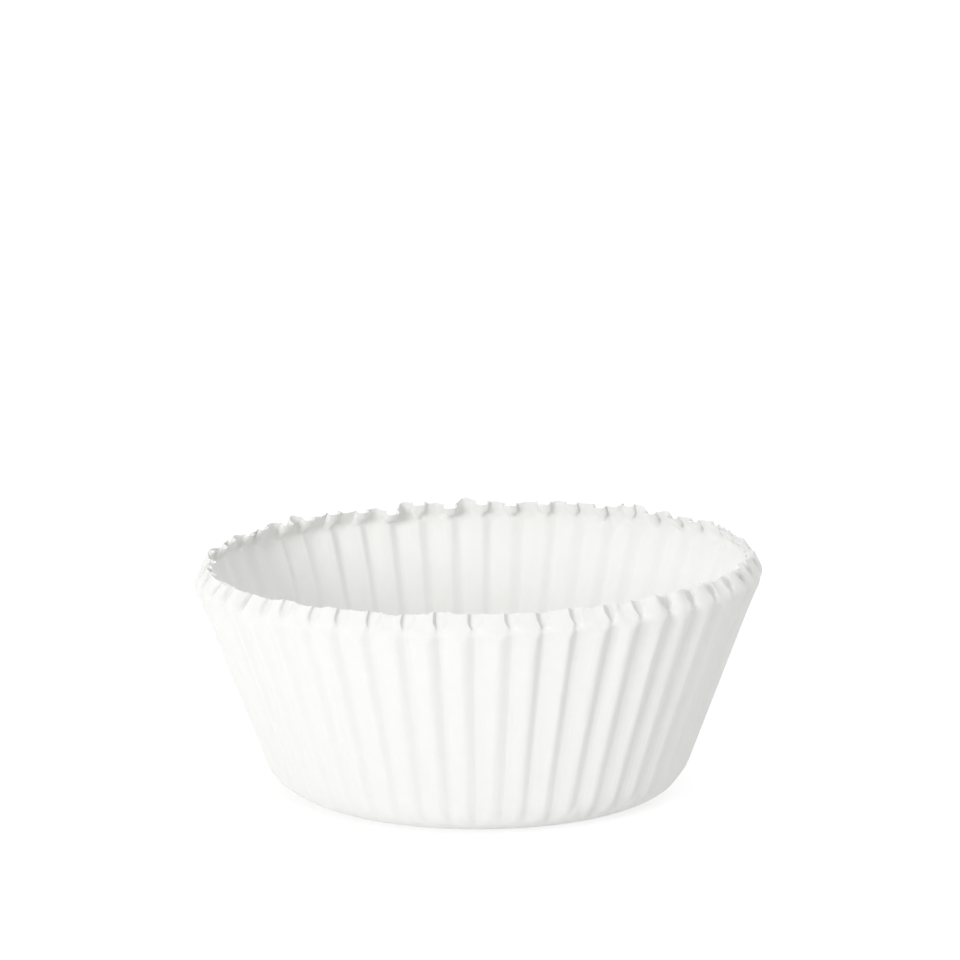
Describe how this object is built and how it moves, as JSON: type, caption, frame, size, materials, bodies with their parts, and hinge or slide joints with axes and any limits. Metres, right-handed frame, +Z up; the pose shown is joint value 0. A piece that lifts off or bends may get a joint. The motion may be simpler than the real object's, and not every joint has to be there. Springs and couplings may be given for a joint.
{
  "type": "cupcake liner",
  "caption": "Round pleated paper cup with a flat floor, sloping fluted wall and a rim folded slightly inwards, for baking a cupcake.",
  "frame": {"origin": "centre of the base, on the underside of the floor", "axes": "+Z up out of the open mouth, +X and +Y level, with the middle of one pleat's outer fold on +X"},
  "size_m": [0.0706, 0.0706, 0.0298],
  "materials": {
    "paper": "matt white greaseproof baking paper with a faint fibre grain"
  },
  "bodies": {
    "root": {"liner": "paper"}
  },
  "joints": []
}
